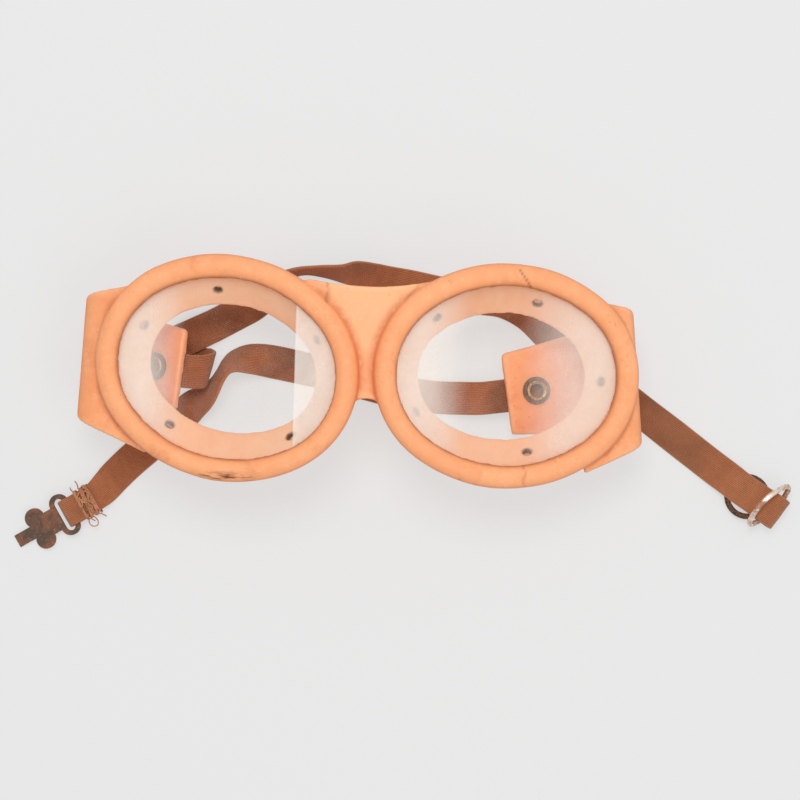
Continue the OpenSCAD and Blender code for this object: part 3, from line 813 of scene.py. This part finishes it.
def makeRubberMaterial():
    w = newMaterial("agedRubber", Roughness=0.6)
    w.skin.inputs["Specular IOR Level"].default_value = 0.28
    w.skin.inputs["Subsurface Weight"].default_value = 0.06
    w.skin.inputs["Subsurface Radius"].default_value = (1.0, 0.35, 0.15)
    w.skin.inputs["Subsurface Scale"].default_value = 0.002
    hollow, inner, rim = w.field("hollow"), w.field("inner"), w.field("rim")
    cloud = mottle(w, 42, 9, 2.3)
    colour = w.mix(cloud, rgb(238, 148, 96), rgb(254, 180, 130))
    # painted highlight: the rim is made a little lighter than the wings
    colour = w.mix(w.math("MULTIPLY", rim, 0.35), colour, rgb(252, 172, 120))
    paleFace = w.mix(cloud, rgb(246, 182, 142), rgb(254, 206, 170))
    # painted reflection: the pale inner face is made paler still towards the ends of each cup
    paleFace = w.mix(w.field("ends"), paleFace, rgb(255, 222, 192))
    colour = w.mix(inner, colour, paleFace)
    outer = w.math("SUBTRACT", 1.0, inner)
    # painted light: the bridge between the cups is made paler to make up for the light it lacks
    colour = w.mix(w.math("MULTIPLY", w.field("bridge"), 0.75), colour, rgb(255, 190, 142))
    # painted shade: steep faces of the outside are made darker and deeper orange
    side = w.math("MULTIPLY", w.step(w.field("steep"), 0.35, 0.95, 0.0, 0.75), outer)
    colour = w.mix(side, colour, rgb(220, 108, 52))
    # painted shade in creases and hollows, broken up by a grime grain
    creaseShadeAndGrime = w.step(hollow, 0.12, 0.75, 0.0, 0.8)
    grain = w.step(w.noise(420, 4, 0.6), 0.3, 0.7, 0.45, 1.0)
    colour = w.mix(w.math("MULTIPLY", w.math("MULTIPLY", creaseShadeAndGrime, grain), outer), colour, rgb(196, 104, 58))
    rub = w.step(hollow, -0.25, -0.8, 0.0, 0.35)
    colour = w.mix(rub, colour, rgb(255, 204, 158))
    colour = w.mix(w.math("MULTIPLY", w.field("lensLine"), 0.7), colour, rgb(160, 92, 52))
    chalk = w.math("MULTIPLY", w.step(w.noise(620, 5, 0.75), 0.56, 0.74, 0.0, 0.45), outer)
    colour = w.mix(chalk, colour, rgb(255, 206, 166))
    spots = w.math("MULTIPLY", specks(w, 520, 0.14, 26), w.math("MULTIPLY", outer, 0.22))
    colour = w.mix(spots, colour, rgb(160, 84, 50))
    stains = w.step(w.noise(150, 5, 0.75, None, 1.2), 0.66, 0.76, 0.0, 0.5)
    colour = w.mix(stains, colour, rgb(206, 118, 76))
    smudge = w.math("MULTIPLY", w.step(w.noise(80, 5, 0.7, None, 0.8), 0.56, 0.76, 0.0, 0.5), outer)
    colour = w.mix(smudge, colour, rgb(204, 122, 76))
    stretch = w.add("ShaderNodeMapping", {"Vector": w.place(), "Scale": (0.16, 1, 1)}).outputs[0]
    streak = w.step(w.noise(900, 4, 0.7, stretch), 0.45, 0.6)
    colour = w.mix(w.math("MULTIPLY", w.field("worn"), streak), colour, rgb(96, 54, 34))
    colour = w.mix(w.math("MULTIPLY", w.field("crack"), 0.9), colour, rgb(122, 62, 36))
    # painted shade: dark brown down each vent hole and round its mouth
    colour = w.mix(w.math("MULTIPLY", w.field("vent"), 0.95), colour, rgb(86, 52, 36))
    w.put(w.skin.inputs["Base Color"], colour)
    fine = w.noise(1500, 4, 0.6)
    broad = w.noise(160, 4, 0.55)
    height = w.math("ADD", w.math("MULTIPLY", fine, 0.35), broad)
    w.put(w.skin.inputs["Normal"], w.bump(height, 0.25, 0.00035))
    w.put(w.skin.inputs["Roughness"], w.step(cloud, 0.2, 0.8, 0.52, 0.66))
    return w.mat


mask = makeMask(makeRubberMaterial())
print("mask", len(mask.data.vertices), "points")
